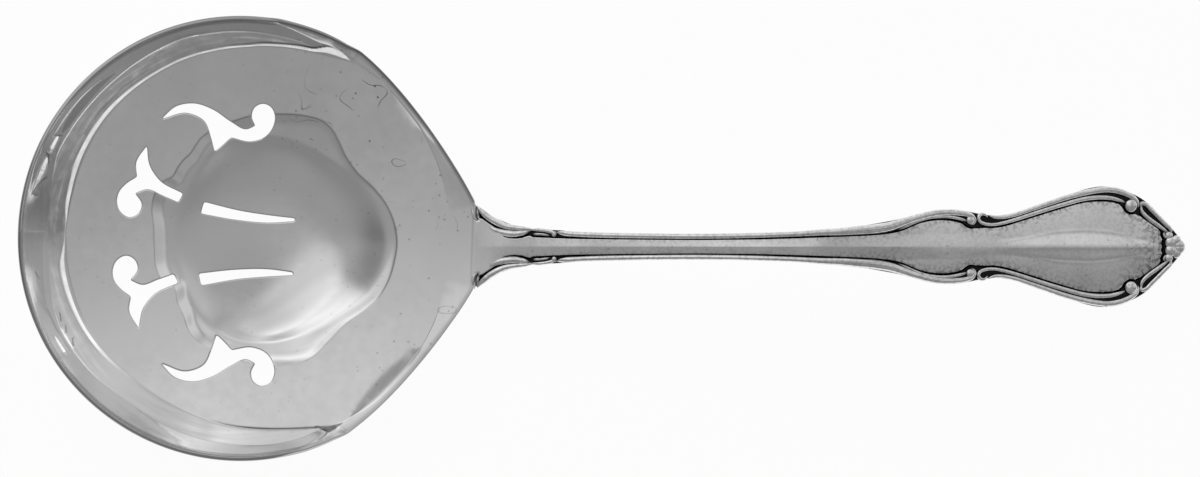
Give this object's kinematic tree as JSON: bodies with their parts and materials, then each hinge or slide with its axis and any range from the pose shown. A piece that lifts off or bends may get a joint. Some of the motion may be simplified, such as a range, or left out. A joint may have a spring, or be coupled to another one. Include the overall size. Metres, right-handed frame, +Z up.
{
  "type": "bonbon spoon",
  "caption": "Silver bonbon spoon with a round pierced pan, turned-up front wall, sunk well and a slim arched handle with scroll borders.",
  "frame": {"origin": "on the flat underside of the bowl's well, on the line of the handle, under the centre of the bowl", "axes": "+X along the handle from the bowl to the tip, +Y to the left seen from above with the bowl towards the viewer's back, +Z up out of the bowl; the spoon lies as on a table"},
  "size_m": [0.1271, 0.0484, 0.013],
  "materials": {
    "bowl_silver": "polished silver with fine wear",
    "handle_silver": "satin silver, dark in the grooves"
  },
  "bodies": {
    "root": {"bowl": "bowl_silver", "handle": "handle_silver"}
  },
  "joints": []
}
